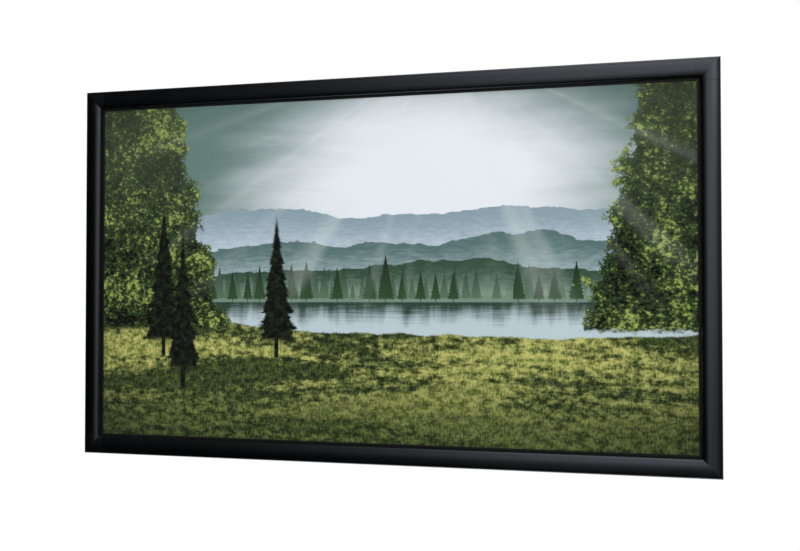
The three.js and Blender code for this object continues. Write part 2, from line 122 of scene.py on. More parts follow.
SIDES = {
    "left": {"turn": 0.0, "x": -FRAME_WIDTH / 2, "z": 0.0, "length": FRAME_HEIGHT, "clips": 5},
    "top": {"turn": math.pi / 2, "x": 0.0, "z": FRAME_HEIGHT / 2, "length": FRAME_WIDTH, "clips": 10},
    "right": {"turn": math.pi, "x": FRAME_WIDTH / 2, "z": 0.0, "length": FRAME_HEIGHT, "clips": 5},
    "bottom": {"turn": -math.pi / 2, "x": 0.0, "z": -FRAME_HEIGHT / 2, "length": FRAME_WIDTH, "clips": 10},
}
CORNERS = {
    "bottom_left": {"turn": 0.0, "x": -FRAME_WIDTH / 2, "z": -FRAME_HEIGHT / 2},
    "top_left": {"turn": math.pi / 2, "x": -FRAME_WIDTH / 2, "z": FRAME_HEIGHT / 2},
    "top_right": {"turn": math.pi, "x": FRAME_WIDTH / 2, "z": FRAME_HEIGHT / 2},
    "bottom_right": {"turn": -math.pi / 2, "x": FRAME_WIDTH / 2, "z": -FRAME_HEIGHT / 2},
}


# Meshes


def placing(place, along=0.0, u=0.0, v=0.0):
    """The matrix that puts a section's axes (u, v, along) at a side or corner of the frame."""
    move = Matrix.Translation((place["x"] * MM, -WALL_PLANE / 2 * MM, place["z"] * MM))
    return move @ Matrix.Rotation(place["turn"], 4, "Y") @ Matrix.Translation((u * MM, v * MM, along * MM))


def clip_places(side):
    """Where the clips stand along a side, measured from its middle."""
    pitch = (side["length"] - 2 * BAR_WIDTH) / side["clips"]
    return [(i - (side["clips"] - 1) / 2) * pitch for i in range(side["clips"])]


def arc(u, v, radius, start, end, steps):
    """Points of an arc. Angles are measured from straight forward and grow towards the picture."""
    angles = [start + (end - start) * i / steps for i in range(steps + 1)]
    return [(u + radius * math.sin(a), v - radius * math.cos(a)) for a in angles]


def rounded(corners, steps=4):
    """A closed outline from plain points (u, v) and corners (u, v, radius) that are rounded."""
    out = []
    count = len(corners)
    for i, corner in enumerate(corners):
        if len(corner) == 2:
            out.append(tuple(corner))
            continue
        here = Vector(corner[:2])
        to_before = Vector(corners[i - 1][:2]) - here
        to_after = Vector(corners[(i + 1) % count][:2]) - here
        room = 0.45 * min(to_before.length, to_after.length)
        to_before.normalize()
        to_after.normalize()
        half = to_before.angle(to_after) / 2
        tangent = min(corner[2] / math.tan(half), room)
        radius = tangent * math.tan(half)
        middle = here + (to_before + to_after).normalized() * (radius / math.sin(half))
        first = here + to_before * tangent - middle
        last = here + to_after * tangent - middle
        sweep = first.angle(last)
        for step in range(steps + 1):
            share = step / steps
            spoke = first * math.sin((1 - share) * sweep) + last * math.sin(share * sweep)
            out.append(tuple(middle + spoke / math.sin(sweep)))
    return out


def area_of(loop):
    return sum(a[0] * b[1] - b[0] * a[1] for a, b in zip(loop, loop[1:] + loop[:1])) / 2


def shrunk(loop, distance):
    """The loop moved by a distance to its left side, with mitred corners."""
    out = []
    for before, here, after in zip(loop[-1:] + loop[:-1], loop, loop[1:] + loop[:1]):
        arriving = (Vector(here) - Vector(before)).normalized()
        leaving = (Vector(after) - Vector(here)).normalized()
        along = (arriving + leaving).normalized()
        reach = distance / max(along.dot(arriving), 0.5)
        out.append((here[0] - along.y * reach, here[1] + along.x * reach))
    return out


def beside(points, distance):
    """A line of points moved to its left by a distance."""
    ways = [(Vector(b) - Vector(a)).normalized() for a, b in zip(points, points[1:])]
    out = []
    for here, arriving, leaving in zip(points, ways[:1] + ways, ways + ways[-1:]):
        along = (arriving + leaving).normalized()
        reach = distance / max(along.dot(arriving), 0.5)
        out.append((here[0] - along.y * reach, here[1] + along.x * reach))
    return out


def strip_loop(points, thickness):
    """The outline of a strip of one thickness along a line of points, with rounded ends."""
    out = []
    for line in (beside(points, thickness / 2), beside(points, -thickness / 2)[::-1]):
        out += [(*line[0], thickness * 0.45), *line[1:-1], (*line[-1], thickness * 0.45)]
    return rounded(out, steps=5)


def prism(loops, rings, place):
    """Vertices and faces of a solid that carries its loops, the outer one first, through a list of rings.
    A ring is (height, inset), and place(point, height) gives the solid's own coordinates."""
    outer, *holes = loops
    outer = outer if area_of(outer) > 0 else outer[::-1]
    holes = [hole if area_of(hole) < 0 else hole[::-1] for hole in holes]
    loops = [outer, *holes]
    size = sum(len(loop) for loop in loops)
    vertices, faces = [], []
    flat = []
    for height, inset in rings:
        moved = [shrunk(loop, inset) if inset else loop for loop in loops]
        flat.append(moved)
        vertices += [place(point, height) for loop in moved for point in loop]
    for level in range(len(rings) - 1):
        start = level * size
        for loop in loops:
            n = len(loop)
            for i in range(n):
                j = (i + 1) % n
                faces.append((start + i, start + j, start + size + j, start + size + i))
            start += n
    for level in (0, len(rings) - 1):
        cap = [[Vector((p[0], p[1], 0)) for p in loop] for loop in flat[level]]
        faces += [tuple(level * size + i for i in triangle) for triangle in tessellate_polygon(cap)]
    return vertices, faces


def lengthwise(point, height):
    return (point[0], point[1], height)


def platewise(point, height):
    return (point[0], height, point[1])


def edged(near, far, bevel):
    """Rings of a solid from near to far whose rims are rounded off by a bevel."""
    soft = bevel * 0.3
    first = [(near, bevel), (near + soft, soft), (near + bevel, 0)]
    return [*first, (far - bevel, 0), (far - soft, soft), (far, bevel)]


def mesh_of(name, vertices, faces, smooth=35):
    """A mesh from millimetres, shaded smooth but for edges sharper than the angle."""
    mesh = bpy.data.meshes.new(name)
    mesh.from_pydata([(x * MM, y * MM, z * MM) for x, y, z in vertices], [], faces)
    work = bmesh.new()
    work.from_mesh(mesh)
    bmesh.ops.remove_doubles(work, verts=work.verts, dist=1e-7)
    bmesh.ops.recalc_face_normals(work, faces=work.faces)
    if work.calc_volume(signed=True) < 0:
        bmesh.ops.reverse_faces(work, faces=work.faces)
    work.to_mesh(mesh)
    work.free()
    return shaded(mesh, smooth)


def joined(name, meshes):
    """One mesh from several closed ones."""
    work = bmesh.new()
    for each in meshes:
        work.from_mesh(each)
    mesh = bpy.data.meshes.new(name)
    work.to_mesh(mesh)
    work.free()
    return shaded(mesh)


def shaded(mesh, smooth=35):
    """The mesh, smooth but for edges sharper than the angle."""
    mesh.polygons.foreach_set("use_smooth", [True] * len(mesh.polygons))
    mesh.set_sharp_from_angle(angle=math.radians(smooth))
    return mesh


def placed(name, data):
    """A new object in the scene."""
    made = bpy.data.objects.new(name, data)
    bpy.context.scene.collection.objects.link(made)
    return made


def piece(name, mesh, matrix, slot, *nodes):
    """An object of the part, in place on its body, that stands for its CAD nodes."""
    made = placed(name, mesh)
    made.matrix_world = matrix
    flats = made.modifiers.new("flats", "WEIGHTED_NORMAL")
    flats.keep_sharp = True
    flats.weight = 100
    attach(made, "root")
    if nodes:
        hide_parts(*nodes)
    return made


def combined(mesh, other, operation):
    """The mesh after an exact boolean with another one."""
    body, tool = placed("body", mesh), placed("tool", other)
    modifier = body.modifiers.new("cut", "BOOLEAN")
    modifier.operation = operation
    modifier.object = tool
    modifier.solver = "EXACT"
    graph = bpy.context.evaluated_depsgraph_get()
    made = bpy.data.meshes.new_from_object(body.evaluated_get(graph))
    for each in (body, tool):
        bpy.data.objects.remove(each)
    return shaded(made)


# The section

CROWN_START = SHOULDER_WIDTH + CREASE_WIDTH
ROLL_FINISH = LIP_OUTER - GROOVE_WIDTH
CROWN_U = (CROWN_START + ROLL_FINISH) / 2
CROWN_FROM = math.asin((CROWN_START - CROWN_U) / CROWN_RADIUS)
ROLL_REACH = ROLL_FINISH - CROWN_U - ROLL_RADIUS * math.sin(ROLL_END)
ROLL_ANGLE = math.asin(ROLL_REACH / (CROWN_RADIUS - ROLL_RADIUS))
ROLL_U = CROWN_U + (CROWN_RADIUS - ROLL_RADIUS) * math.sin(ROLL_ANGLE)
ROLL_V = CROWN_RADIUS - (CROWN_RADIUS - ROLL_RADIUS) * math.cos(ROLL_ANGLE)
SHOULDER_TO = math.asin((SHOULDER_WIDTH - SHOULDER_RADIUS) / SHOULDER_RADIUS)
CREASE_V = CROWN_RADIUS * (1 - math.cos(CROWN_FROM))
SHOULDER_V = CREASE_V + SHOULDER_RADIUS * math.cos(SHOULDER_TO)


def front_outline():
    """The visible front, from the foot of the outer side to the back of the lip."""
    return [
        (0.0, BAR_DEPTH, 0.5),
        *arc(SHOULDER_RADIUS, SHOULDER_V, SHOULDER_RADIUS, -math.pi / 2, SHOULDER_TO, 14),
        (SHOULDER_WIDTH + CREASE_WIDTH / 2, CREASE_V + CREASE_DEPTH),
        *arc(CROWN_U, CROWN_RADIUS, CROWN_RADIUS, CROWN_FROM, ROLL_ANGLE, 22),
        *arc(ROLL_U, ROLL_V, ROLL_RADIUS, ROLL_ANGLE, ROLL_END, 14)[1:],
        (ROLL_FINISH, LIP_FRONT + GROOVE_DEPTH),
        (LIP_OUTER, LIP_FRONT + GROOVE_DEPTH),
        (LIP_OUTER, LIP_FRONT, LIP_ROUNDING),
        (BAR_WIDTH, LIP_FRONT, LIP_ROUNDING),
        (BAR_WIDTH, LIP_BACK, 0.3),
    ]


def skin_angle(u):
    """Where the inside of the domed skin crosses a given u."""
    return math.asin((u - CROWN_U) / (CROWN_RADIUS - WALL))


def wing_inside():
    """The inside of the skin over the sheet's edge, from the lip to the web."""
    inner = ROLL_RADIUS - WALL
    skin = CROWN_RADIUS - WALL
    return [
        (ROLL_U + inner * math.sin(ROLL_END), LIP_BACK, 0.3),
        *arc(ROLL_U, ROLL_V, inner, ROLL_END, ROLL_ANGLE, 10),
        *arc(CROWN_U, CROWN_RADIUS, skin, ROLL_ANGLE, skin_angle(WEB_INSIDE), 8)[1:],
    ]


def channel_roof():
    """The roof of the channel, from the web to the outer wall."""
    skin = CROWN_RADIUS - WALL
    return [
        *arc(CROWN_U, CROWN_RADIUS, skin, skin_angle(CHANNEL_INNER), CROWN_FROM, 8),
        *arc(SHOULDER_RADIUS, SHOULDER_V, SHOULDER_RADIUS - WALL, SHOULDER_TO, -math.pi / 2, 10),
    ]


def rail_loop():
    return rounded(
        [
            *front_outline(),
            *wing_inside(),
            (WEB_INSIDE, CHANNEL_FLOOR, 0.4),
            (RIDGE_START, CHANNEL_FLOOR, 0.4),
            (RIDGE_START, RIDGE_TOP, 0.5),
            (RIDGE_START + WALL, RIDGE_TOP, 0.5),
            (RIDGE_START + WALL, BAR_DEPTH, 0.4),
            (CHANNEL_MIDDLE + SLOT_HALF, BAR_DEPTH, 0.4),
            (CHANNEL_MIDDLE + SLOT_HALF, CHANNEL_FLOOR, 0.4),
            (CHANNEL_INNER, CHANNEL_FLOOR, 0.4),
            *channel_roof(),
            (WALL, CHANNEL_FLOOR, 0.4),
            (CHANNEL_MIDDLE - SLOT_HALF, CHANNEL_FLOOR, 0.4),
            (CHANNEL_MIDDLE - SLOT_HALF, BAR_DEPTH, 0.4),
        ]
    )


def corner_loops():
    outer = rounded([*front_outline(), *wing_inside(), (WEB_INSIDE, BAR_DEPTH, 0.5)])
    channel = rounded([(CHANNEL_INNER, CHANNEL_FLOOR, 0.4), *channel_roof(), (WALL, CHANNEL_FLOOR, 0.4)])
    return [outer, channel]


def paint_matt(mesh, inwards, is_end):
    """Gives the lip, the groove beside it and the steep wall above them the mesh's second material.
    inwards(point) is how far in from the outer edge a point lies, and is_end(face) is true of a cut end."""
    for face in mesh.polygons:
        in_front = face.center[1] < (LIP_BACK - 0.1) * MM
        if in_front and MATT_START * MM < inwards(face.center) and not is_end(face):
            face.material_index = 1


# Materials


def srgb(code):
    """The linear colour of a hexadecimal code."""
    parts = [int(code[i : i + 2], 16) / 255 for i in (0, 2, 4)]
    return (*[c / 12.92 if c <= 0.04045 else ((c + 0.055) / 1.055) ** 2.4 for c in parts], 1.0)


class Field:
    """A number that varies over a surface. Its operators add Math nodes."""

    def __init__(self, graph, socket):
        self.graph = graph
        self.socket = socket

    def __add__(self, other):
        return self.graph.math("ADD", self, other)

    def __sub__(self, other):
        return self.graph.math("SUBTRACT", self, other)

    def __rsub__(self, other):
        return self.graph.math("SUBTRACT", other, self)

    def __mul__(self, other):
        return self.graph.math("MULTIPLY", self, other)

    def __truediv__(self, other):
        return self.graph.math("DIVIDE", self, other)

    def __abs__(self):
        return self.graph.math("ABSOLUTE", self)

    __radd__ = __add__
    __rmul__ = __mul__


class Graph:
    """The nodes of one material. A value is a number, a colour, a Field or a socket."""

    def __init__(self, name):
        self.material = bpy.data.materials.new(name)
        self.material.use_nodes = True
        self.tree = self.material.node_tree
        self.tree.nodes.clear()
        place = self.tree.nodes.new("ShaderNodeTexCoord").outputs["Object"]
        self.place = place
        split = self.node("ShaderNodeSeparateXYZ", {"Vector": place})
        self.x, self.y, self.z = (Field(self, split.outputs[axis]) for axis in "XYZ")

    def node(self, kind, inputs, **settings):
        made = self.tree.nodes.new(kind)
        for key, value in settings.items():
            setattr(made, key, value)
        for key, value in inputs.items():
            if isinstance(value, Field):
                value = value.socket
            if isinstance(value, bpy.types.NodeSocket):
                self.tree.links.new(value, made.inputs[key])
            else:
                made.inputs[key].default_value = value
        return made

    def math(self, operation, *values):
        made = self.node("ShaderNodeMath", dict(enumerate(values)), operation=operation)
        return Field(self, made.outputs[0])

    def smooth(self, value, low, high, start=0.0, end=1.0):
        """Goes softly from start to end as the value goes from low to high."""
        inputs = {"Value": value, "From Min": low, "From Max": high, "To Min": start, "To Max": end}
        made = self.node("ShaderNodeMapRange", inputs, interpolation_type="SMOOTHSTEP")
        return Field(self, made.outputs["Result"])

    def vector(self, x, y, z):
        return self.node("ShaderNodeCombineXYZ", {0: x, 1: y, 2: z}).outputs[0]

    def noise(self, scale, vector=None, detail=2.0, roughness=0.5, distortion=0.0):
        inputs = {"Vector": vector or self.place, "Scale": scale, "Detail": detail}
        inputs |= {"Roughness": roughness, "Distortion": distortion}
        return Field(self, self.node("ShaderNodeTexNoise", inputs).outputs["Fac"])

    def dabs(self, vector):
        """Rounded dabs of random brightness, one in each unit cell, that overlap like leaves."""
        made = self.node("ShaderNodeTexVoronoi", {"Vector": vector, "Scale": 1.0}, feature="SMOOTH_F1")
        split = self.node("ShaderNodeSeparateColor", {"Color": made.outputs["Color"]})
        return Field(self, split.outputs[0]) - Field(self, made.outputs["Distance"]) * 0.5

    def random(self, value):
        """Three random numbers from 0 to 1 for each whole value."""
        made = self.node("ShaderNodeTexWhiteNoise", {"W": value}, noise_dimensions="1D")
        split = self.node("ShaderNodeSeparateColor", {"Color": made.outputs["Color"]})
        return [Field(self, split.outputs[i]) for i in range(3)]

    def mix(self, factor, a, b):
        """Colour a where the factor is 0, and b where it is 1."""
        made = self.node("ShaderNodeMix", {0: factor, 6: a, 7: b}, data_type="RGBA")
        return made.outputs[2]

    def finish(self, bump=None, distance=0.0, **sockets):
        """Adds the shader, with a bump of that height in metres."""
        inputs = {key.replace("_", " "): value for key, value in sockets.items()}
        if bump is not None:
            inputs["Normal"] = self.node("ShaderNodeBump", {"Height": bump, "Distance": distance}).outputs[0]
        shader = self.node("ShaderNodeBsdfPrincipled", inputs)
        self.node("ShaderNodeOutputMaterial", {"Surface": shader.outputs[0]})
        return self.material


def rail_lacquer():
    """Satin black lacquer on extruded aluminium: faint lines along the rail and a fine orange peel."""
    g = Graph("rail_lacquer")
    lines = g.noise(1.0, g.vector(g.x * 900, g.y * 900, g.z * 4), detail=3.0)
    peel = g.noise(700.0, detail=1.0)
    patch = g.noise(9.0, detail=3.0)
    base = g.mix(g.smooth(patch, 0.35, 0.65), (0.0009, 0.0010, 0.0012, 1), (0.0016, 0.0017, 0.0020, 1))
    roughness = 0.235 + lines * 0.03 + patch * 0.03
    height = peel * 0.6 + lines * 0.4
    return g.finish(height, 0.00001, Base_Color=base, Roughness=roughness, Specular_IOR_Level=0.95,
                    Specular_Tint=(0.80, 0.89, 1.0, 1))


def groove_matt():
    """The lip and the groove beside it are matt, so that they don't mirror the picture."""
    g = Graph("groove_matt")
    grain = g.noise(2600.0, detail=1.0)
    base = g.mix(g.smooth(grain, 0.3, 0.7), (0.0040, 0.0041, 0.0044, 1), (0.0062, 0.0064, 0.0068, 1))
    return g.finish(grain, 0.00003, Base_Color=base, Roughness=0.5 + grain * 0.1, Specular_IOR_Level=0.3)


def corner_plastic():
    """Moulded black plastic with a fine sand-blasted grain."""
    g = Graph("corner_plastic")
    grain = g.noise(1900.0, detail=2.0)
    patch = g.noise(14.0, detail=3.0)
    base = g.mix(g.smooth(patch, 0.35, 0.65), (0.0016, 0.0017, 0.0020, 1), (0.0026, 0.0027, 0.0031, 1))
    return g.finish(grain, 0.000015, Base_Color=base, Roughness=0.27 + patch * 0.05, Specular_IOR_Level=0.9,
                    Specular_Tint=(0.82, 0.90, 1.0, 1))


def nylon():
    """Black moulded nylon."""
    g = Graph("nylon")
    grain = g.noise(1300.0, detail=2.0)
    patch = g.noise(60.0, detail=3.0)
    base = g.mix(g.smooth(patch, 0.3, 0.7), (0.008, 0.008, 0.009, 1), (0.019, 0.019, 0.020, 1))
    return g.finish(grain, 0.00004, Base_Color=base, Roughness=0.38 + grain * 0.16)


def fibreglass():
    """Pale drawn fibreglass with fibres along the rod."""
    g = Graph("fibreglass")
    fibres = g.noise(1.0, g.vector(g.x * 2600, g.y * 2600, g.z * 14), detail=3.0, roughness=0.6)
    base = g.mix(g.smooth(fibres, 0.3, 0.7), srgb("cfc391"), srgb("e6dfbd"))
    return g.finish(fibres, 0.00004, Base_Color=base, Roughness=0.3 + fibres * 0.15, Subsurface_Weight=0.1,
                    Subsurface_Scale=0.002)


def zinc():
    """Bright zinc plate, faintly blue and yellow, with fine rubbing marks."""
    g = Graph("zinc")
    cloud = g.noise(60.0, detail=4.0)
    marks = g.noise(1.0, g.vector(g.x * 260, g.y * 2400, g.z * 1600), detail=3.0)
    base = g.mix(g.smooth(cloud, 0.3, 0.7), srgb("c3c7c9"), srgb("d3cfbe"))
    return g.finish(marks, 0.00001, Base_Color=base, Metallic=1.0, Roughness=0.27 + cloud * 0.14)


def powder_coat():
    """Black powder coat on pressed steel."""
    g = Graph("powder_coat")
    grain = g.noise(750.0, detail=3.0)
    base = g.mix(g.smooth(grain, 0.38, 0.62), (0.009, 0.009, 0.010, 1), (0.021, 0.021, 0.022, 1))
    return g.finish(grain, 0.00016, Base_Color=base, Roughness=0.4 + grain * 0.14)


def vinyl_black():
    """The sheet's black back and the printed border under the lip, with the faint weave of the carrier."""
    g = Graph("vinyl_black")
    turn = 2 * math.pi / 0.0018
    weave = g.math("SINE", g.x * turn) * g.math("SINE", g.z * turn)
    cloud = g.noise(3.0, detail=5.0)
    shade = g.smooth(cloud, 0.3, 0.7) * 0.8 + weave * 0.1 + 0.1
    base = g.mix(shade, (0.014, 0.014, 0.015, 1), (0.025, 0.025, 0.027, 1))
    return g.finish(weave, 0.00008, Base_Color=base, Roughness=0.58 + cloud * 0.14)


def vinyl_welded():
    """The rolled hem and its flap: white vinyl with the dots of a welding wheel along the flap."""
    g = Graph("vinyl_welded")
    from_x = FRAME_WIDTH / 2 * MM - abs(g.x)
    from_z = FRAME_HEIGHT / 2 * MM - abs(g.z)
    u = g.math("MINIMUM", from_x, from_z)
    along = g.math("MAXIMUM", from_x, from_z)
    turn = 2 * math.pi / 0.0024
    dots = g.smooth(g.math("SINE", along * turn) * g.math("SINE", u * turn), 0.1, 0.7)
    band = g.smooth(u, 0.0665, 0.067) * g.smooth(u, 0.0755, 0.076, 1.0, 0.0)
    grain = g.noise(1700.0, detail=2.0)
    base = g.mix(dots * band * 0.25 + grain * 0.2, srgb("e6e6e1"), srgb("c9c9c3"))
    return g.finish(grain * 0.1 - dots * band, 0.0002, Base_Color=base, Roughness=0.62 + grain * 0.2)


def conifers(g, x, z, ground, seed, width, height, slope):
    """A row of firs, at most one in each cell of that width: 1 inside a tree and 0 outside."""
    cell = g.math("FLOOR", x / width)
    one, two, three = g.random(cell + seed)
    middle = (cell + (0.3 + two * 0.4)) * width
    top = ground + (0.5 + one * 0.5) * g.smooth(three, 0.14, 0.16) * height
    below = top - z
    tier = g.math("FRACT", below * (15.0 / height) + three)
    needles = g.noise(9.0 / height, g.vector(x * 2.4, seed, z * 3.0), detail=5.0, roughness=0.7)
    reach = below * slope * (0.72 + tier * 0.28) * (0.45 + needles * 1.1)
    aside = abs(x - middle)
    bark = g.smooth(aside, 0.004 * height, 0.006 * height, 1.0, 0.0)
    trunk = bark * g.smooth(below, 0.2 * height, 0.3 * height)
    blur = 0.003 * height + 0.0006
    skirt = g.smooth(z, ground + 0.05 * height, ground + 0.09 * height)
    crown = g.smooth(reach - aside, -blur, blur) * skirt
    return g.math("MAXIMUM", crown, trunk) * g.smooth(z, ground, ground + 0.01)


def picture():
    """A generic valley in like colours: pale mist, hazy hills, dark firs and a sunlit meadow by a lake."""
    g = Graph("picture")
    x = g.x / (PICTURE_WIDTH / 2 * MM)
    z = g.z / (PICTURE_HEIGHT / 2 * MM)

    # The sky: mist that is brightest over the middle of the valley
    away = g.math("SQRT", (x - 0.16) * (x - 0.16) + (z - 0.42) * (z - 0.42) * 0.7)
    glow = g.smooth(away, 0.0, 1.0, 1.0, 0.0)
    cloud = g.noise(1.6, g.vector(x, 0.0, z * 2.6), detail=6.0, roughness=0.6, distortion=0.4)
    colour = g.mix(g.smooth(glow + (cloud - 0.5) * 0.5, 0.05, 0.85), srgb("68857f"), srgb("f2f8ff"))

    # Hills, the nearer ones darker, each with mist at its foot
    for seed, level, swell, near, far, foot in (
        (3.1, 0.34, 0.42, "8fa6b2", "c9d8e4", 0.05),
        (7.7, 0.15, 0.55, "5a7776", "a9bfc4", -0.1),
        (1.9, 0.0, 0.45, "35523f", "7b9584", -0.2),
    ):
        line = g.noise(1.3, g.vector(x + seed * 9.0, 0.0, 0.0), detail=8.0, roughness=0.55)
        height = level + (line - 0.5) * swell
        forest = g.noise(1.0, g.vector(x * 26.0, seed, z * 60.0), detail=4.0, roughness=0.65)
        body = g.mix(g.smooth(z + (forest - 0.5) * 0.22, foot, height), srgb(far), srgb(near))
        colour = g.mix(g.smooth(height + (forest - 0.5) * 0.035 - z, -0.003, 0.003), colour, body)

    # Far firs along the shore, in haze
    for seed, ground, width, tall, tone, foot in (
        (11.0, -0.16, 0.019, 0.15, "3f5d4d", "8aa291"),
        (23.0, -0.18, 0.034, 0.22, "294233", "5d7a62"),
        (37.0, -0.19, 0.055, 0.3, "16291c", "33502f"),
    ):
        trees = conifers(g, x, z, ground, seed, width, tall, 0.13)
        body = g.mix(g.smooth(z, ground - 0.02, ground + tall), srgb(foot), srgb(tone))
        colour = g.mix(trees, colour, body)

    # The lake, pale under the mist, with the shore's dark reflection
    ripple = g.noise(3.0, g.vector(x * 2.2, 0.0, z * 46.0), detail=5.0, roughness=0.6)
    mirrored = g.noise(1.0, g.vector(x * 22.0, 9.0, z * 2.0), detail=3.0)
    depth = z + (ripple - 0.5) * 0.12 - (mirrored - 0.5) * 0.2
    water = g.mix(g.smooth(depth, -0.33, -0.2), srgb("c3d5dc"), srgb("2c463a"))
    colour = g.mix(g.smooth(z, -0.19, -0.184, 1.0, 0.0), colour, water)

    # The meadow, in sun and shade
    bank = g.noise(1.7, g.vector(x + 4.0, 0.0, 0.0), detail=8.0, roughness=0.6)
    bands = g.noise(1.5, g.vector(x * 0.8, 2.0, z * 3.4), detail=5.0, roughness=0.6, distortion=0.8)
    blades = g.noise(1.0, g.vector(x * 190.0, 0.0, z * 40.0), detail=3.0, roughness=0.6)
    tufts = g.noise(1.0, g.vector(x * 30.0, 5.0, z * 28.0), detail=6.0, roughness=0.7)
    shore = -0.31 + (bank - 0.5) * 0.2 - g.smooth(x, -0.75, 0.35) * 0.07 + (blades - 0.5) * 0.02
    sun = g.smooth(bands + (tufts - 0.5) * 0.5, 0.42, 0.6) * g.smooth(z, -0.95, -0.5, 0.15, 1.0)
    grass = g.mix(g.smooth(tufts + (blades - 0.5) * 0.7, 0.36, 0.7), srgb("1d2a10"), srgb("566832"))
    lit = g.mix(g.smooth(tufts + (blades - 0.5) * 0.6, 0.35, 0.68), srgb("66772f"), srgb("cdcb78"))
    grass = g.mix(sun, grass, lit)
    colour = g.mix(g.smooth(shore - z, -0.006, 0.006), colour, grass)

    # Leafy slopes on both sides
    leaf = g.noise(1.0, g.vector(x * 44.0, 0.0, z * 25.0), detail=7.0, roughness=0.78)
    clump = g.noise(1.0, g.vector(x * 7.0, 3.0, z * 4.2), detail=5.0, roughness=0.6)
    rise = g.math("POWER", abs(x - 0.06), 1.5) * 2.0
    slope = rise - 1.04 + (clump - 0.5) * 0.62 + (leaf - 0.5) * 0.3
    fine = g.dabs(g.vector(x * 150.0, clump * 3.0, z * 92.0))
    coarse = g.dabs(g.vector(x * 62.0, 4.0, z * 38.0))
    leaves = fine * 0.16 + coarse * 0.1
    shade = leaf * 0.5 + clump * 0.5 + leaves - 0.05
    wood = g.mix(g.smooth(shade, 0.40, 0.54), srgb("060a05"), srgb("2e431f"))
    wood = g.mix(g.smooth(shade, 0.52, 0.68), wood, srgb("a2b45c"))
    wood = g.mix(g.smooth(z, 0.0, 1.0) * 0.16, wood, srgb("8fa37c"))
    edge = g.smooth(z + (tufts - 0.5) * 0.12, -0.36, -0.33)
    colour = g.mix(g.smooth(slope + leaves * 0.3 - z * 0.35, 0.0, 0.025) * edge, colour, wood)

    # Sunbeams that fan out from the glow
    turn = g.math("ARCTAN2", x - 0.22, 1.3 - z)
    fan = g.noise(3.4, g.vector(turn * 2.0, 0.0, 0.0), detail=2.0)
    beams = g.smooth(fan, 0.48, 0.68) * g.smooth(away, 0.1, 1.2, 1.0, 0.0) * g.smooth(z, -0.5, 0.1)
    colour = g.mix(beams * 0.26, colour, srgb("eef5f2"))

    # Near firs, almost black against the light
    for seed, shift, ground, width, tall, lean in (
        (41.0, 0.11, -0.52, 0.46, 1.45, 0.1),
        (57.0, 0.31, -0.72, 0.85, 1.75, 0.085),
    ):
        trees = conifers(g, x + shift, z + (tufts - 0.5) * 0.03, ground, seed, width, tall, lean)
        trees = trees * g.smooth(abs(x - 0.2), 0.22, 0.23)
        body = g.mix(g.smooth(leaf, 0.42, 0.72), srgb("060906"), srgb("2b3b20"))
        colour = g.mix(trees, colour, body)

    # Painted shade: the corners darken as a projector's picture does where its light falls off
    painted_corner_shade = g.smooth(x * x + z * z * 0.8, 0.7, 1.9, 0.0, 0.45)
    colour = g.mix(painted_corner_shade, colour, srgb("0a0d0b"))
    grain = g.noise(1700.0, detail=1.0)
    return g.finish(grain, 0.00002, Base_Color=colour, Roughness=0.85, Specular_IOR_Level=0.2)


LOOK = {
    "rail": rail_lacquer(),
    "groove": groove_matt(),
    "corner": corner_plastic(),
    "nylon": nylon(),
    "fibreglass": fibreglass(),
    "zinc": zinc(),
    "powder": powder_coat(),
    "black": vinyl_black(),
    "welded": vinyl_welded(),
    "picture": picture(),
}


# Rails and corner blocks

SEAM_BEVEL = 0.35
SEAM_RINGS = [(0.0, SEAM_BEVEL), (SEAM_BEVEL * 0.3, SEAM_BEVEL * 0.3), (SEAM_BEVEL, 0.0)]
TONGUE_START = 66.0
TONGUE_END = 90.0
TONGUE_EDGE = 30.0
MITRE_RADIUS = 0.9
MITRE_STEPS = 4


def make_rails():
    loop = rail_loop()
    for word, side in SIDES.items():
        half = side["length"] / 2 - CORNER_SIDE - SEAM
        mesh = mesh_of(f"{word}_rail_mesh", *prism([loop], edged(-half, half, SEAM_BEVEL), lengthwise))
        mesh.materials.append(LOOK["rail"])
        mesh.materials.append(LOOK["groove"])
        paint_matt(mesh, lambda point: point[0], lambda face: abs(face.normal[2]) >= 0.9)
        piece(f"rail_{word}", mesh, placing(side), "rail_black", f"{word}_rail")


def tongues():
    """Thin tongues inside the skin that reach from the block into both rails and shut the seam."""
    first, *roof = [point[:2] for point in wing_inside()]
    for offset, thickness, short, near, far in (
        (0.8, 2.2, 0.0, TONGUE_START, CORNER_SIDE - 0.5),
        (0.85, 1.4, 0.7, TONGUE_START + 1, TONGUE_END),
    ):
        channel_edge, wing_edge = TONGUE_EDGE - short, LIP_BACK - 1.0 - short
        channel = [(CHANNEL_INNER, channel_edge), *channel_roof(), (WALL, channel_edge)]
        wing = [(first[0], wing_edge), *roof, (WEB_INSIDE, wing_edge)]
        for path in (channel, wing):
            loop = strip_loop(beside(path, -offset), thickness)
            for way in (lengthwise, lambda point, height: (height, point[1], point[0])):
                yield mesh_of("tongue", *prism([loop], edged(near, far, 0.3), way))


